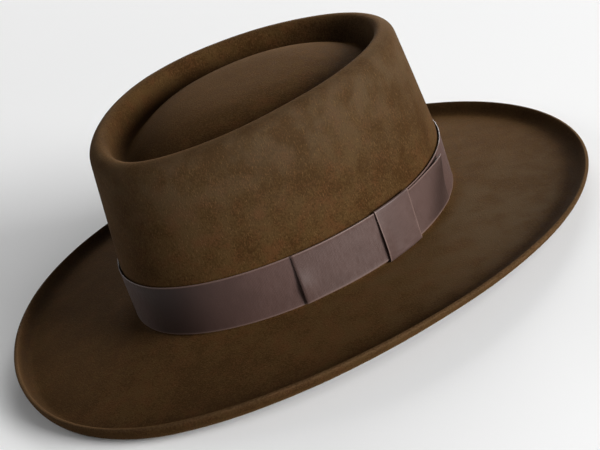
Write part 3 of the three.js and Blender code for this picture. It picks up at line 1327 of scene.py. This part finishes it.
@dataclass
class Trimming:
    """The ribbon band and the three pieces of the bow."""

    block: HatBlock
    band_finish: RibbonFinish
    bow_finish: RibbonFinish
    end_gap: float = 0.4

    def build(self) -> list[bpy.types.Object]:
        """Cut and lay all four lengths of ribbon.

        Returns:
            The finished pieces.
        """
        girth = Girth(self.block).table()
        band_cloth, bow_cloth = self.band_finish.make(), self.bow_finish.make()
        around = float(np.interp(2 * math.pi, *girth))
        common = {"block": self.block, "girth": girth}
        band = RibbonBand(
            **common, finish=band_cloth, name="band_ribbon", node="ribbon_band", slot=Slot.RIBBON,
            # painted shade on the band just off the front, towards the bow
            length=around - self.end_gap, width=self.block.ribbon_height, steps=360, painted_shade_turn=8,
            painted_shade_reach=17, painted_shade_share=0.8)
        bow = {**common, "finish": bow_cloth, "slot": Slot.BOW, "length": 0.0}
        front = BowWing(**bow, name="bow_wing_front", node="bow_front_wing", width=28.1, steps=160)
        back = BowWing(
            **bow, name="bow_wing_back", node="bow_back_wing", width=26.9, steps=160,
            fold_turn=119.0, knot_turn=88.4, bottom=1.1, lift=2.4, lift_share=1.0,
            # painted shade across the back wing near its fold, over a real dent
            lift_spread=0.45, lift_reach=15.0, painted_shade_turn=115.5, painted_shade_slant=12,
            painted_shade_reach=8.5, painted_shade_share=0.8, dent=0.6)
        knot = BowKnot(**bow, name="bow_centre", node="bow_knot", width=25.8, steps=90, rows=20)
        for piece in (front, back, knot):
            piece.length = piece.whole_length()
        return [piece.build() for piece in (band, front, back, knot)]


# ---- Studio ----


def direction(azimuth: float, elevation: float) -> Vector:
    """Return the unit vector that points to an azimuth and elevation, in degrees."""
    turn, rise = math.radians(azimuth), math.radians(elevation)
    return Vector((math.sin(turn) * math.cos(rise), -math.cos(turn) * math.cos(rise), math.sin(rise)))


@dataclass(frozen=True)
class SoftBox:
    """A square studio light that faces the hat."""

    name: str
    azimuth: float
    elevation: float
    watts: float
    distance: float = 4.0
    size: float = 2.2

    def hang(self, target: Vector) -> bpy.types.Object:
        """Hang the light and point it at the hat.

        Args:
            target: The point that it faces, in metres.

        Returns:
            The light.
        """
        lamp = bpy.data.lights.new(self.name, "AREA")
        lamp.shape = "SQUARE"
        lamp.size = self.size
        lamp.energy = self.watts
        light = bpy.data.objects.new(self.name, lamp)
        bpy.context.scene.collection.objects.link(light)
        toward = direction(self.azimuth, self.elevation)
        light.location = target + toward * self.distance
        light.rotation_euler = toward.to_track_quat("Z", "Y").to_euler()
        return light


@dataclass(frozen=True)
class PhotoCamera:
    """The camera at the photograph's angle; it leans sideways with the hat."""

    azimuth: float = 50.431
    elevation: float = 23.705
    roll: float = -20.759
    distance: float = 926.85
    aim: tuple[float, float, float] = (15.0, -5.42, 25.41)
    lens: float = 100.27
    sensor: float = 36.0

    def stand(self) -> bpy.types.Object:
        """Stand the camera in place and make it the scene's own.

        Returns:
            The camera.
        """
        turn, roll = math.radians(self.azimuth), math.radians(self.roll)
        back = direction(self.azimuth, self.elevation)
        right = Vector((math.cos(turn), math.sin(turn), 0))
        up = back.cross(right)
        right, up = (
            math.cos(roll) * right + math.sin(roll) * up,
            math.cos(roll) * up - math.sin(roll) * right,
        )
        data = bpy.data.cameras.new("photo_camera")
        data.lens, data.sensor_width, data.clip_start = self.lens, self.sensor, 0.01
        camera = bpy.data.objects.new("photo_camera", data)
        bpy.context.scene.collection.objects.link(camera)
        pose = Matrix((right, up, back)).transposed().to_4x4()
        pose.translation = (Vector(self.aim) + back * self.distance) * MM
        camera.matrix_world = pose
        bpy.context.scene.camera = camera
        return camera


@dataclass(frozen=True)
class Studio:
    """Pale floor, soft light and a pale room."""

    floor_finish: FloorFinish = FloorFinish()
    boxes: tuple[SoftBox, ...] = (
        SoftBox("key_box", azimuth=100, elevation=7, watts=480),
        SoftBox("high_box", azimuth=100, elevation=32, watts=57),
        SoftBox("near_box", azimuth=60, elevation=10, watts=34),
        SoftBox("back_box", azimuth=213, elevation=13, watts=137),
        SoftBox("left_box", azimuth=280, elevation=15, watts=55),
    )
    room: Colour = (1.0, 1.0, 1.0)
    room_strength: float = 0.06
    backdrop_strength: float = 0.9
    floor_size: float = 6.0

    def set_up(self) -> None:
        """Lay the floor, hang the lights and set how the picture is developed."""
        Bench.clear()
        bpy.ops.mesh.primitive_plane_add(size=self.floor_size, location=(0, 0, 0))
        floor = Bench.name("studio_floor")
        floor.data.materials.append(self.floor_finish.make())
        for box in self.boxes:
            box.hang(Vector((0, 0, 0.05)))
        world = bpy.data.worlds.new("studio_room")
        world.use_nodes = True
        backdrop = world.node_tree.nodes["Background"]
        backdrop.inputs["Color"].default_value = (*self.room, 1.0)
        seen = world.node_tree.nodes.new("ShaderNodeLightPath").outputs["Is Camera Ray"]
        strength = world.node_tree.nodes.new("ShaderNodeMapRange")
        for socket, item in zip(strength.inputs, (0.0, 0.0, 1.0, self.room_strength, self.backdrop_strength)):
            socket.default_value = item
        world.node_tree.links.new(seen, strength.inputs["Value"])
        world.node_tree.links.new(strength.outputs["Result"], backdrop.inputs["Strength"])
        scene = bpy.context.scene
        scene.world = world
        scene.view_settings.view_transform = "Standard"
        scene.view_settings.look = "None"


def main() -> None:
    """Build the hat and its studio."""
    logging.basicConfig(level=logging.INFO, format="%(message)s")
    PhotoCamera().stand()
    block = HatBlock()
    bow_cloth = RibbonFinish(
        name="bow_grosgrain", base=(0.0530, 0.0312, 0.0265), dark=(0.0395, 0.0230, 0.0192))
    felt = FeltBody(block, FeltFinish()).build()
    trimming = Trimming(block, RibbonFinish(), bow_cloth).build()
    for piece in (felt, *trimming):
        log.info("%s: %d faces, %s mm", piece.name, len(piece.data.polygons), [
            round(size / MM, 1) for size in piece.dimensions])
    Studio().set_up()


if __name__ == "__main__":
    main()
